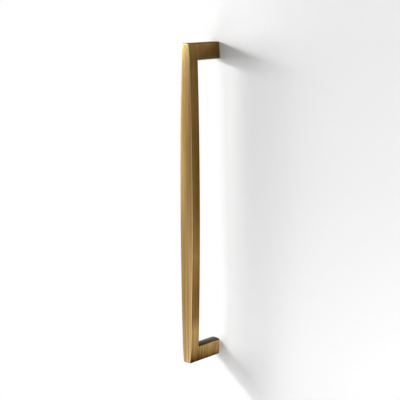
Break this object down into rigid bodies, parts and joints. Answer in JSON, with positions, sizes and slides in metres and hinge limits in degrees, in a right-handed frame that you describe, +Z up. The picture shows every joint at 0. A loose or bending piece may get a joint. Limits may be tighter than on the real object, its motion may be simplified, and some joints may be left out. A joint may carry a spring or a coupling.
{
  "type": "cabinet pull",
  "caption": "Long bar pull with a crowned, tapering front and a square leg at each end, in aged satin brass.",
  "frame": {"origin": "in the face of the door, half way between the two screw holes", "axes": "+Z up the bar, +Y into the door, +X to the right seen from the front"},
  "size_m": [0.0168, 0.0429, 0.3206],
  "materials": {
    "aged_brass": "aged satin, brushed along the bar"
  },
  "bodies": {
    "root": {"pull": "aged_brass"}
  },
  "joints": []
}
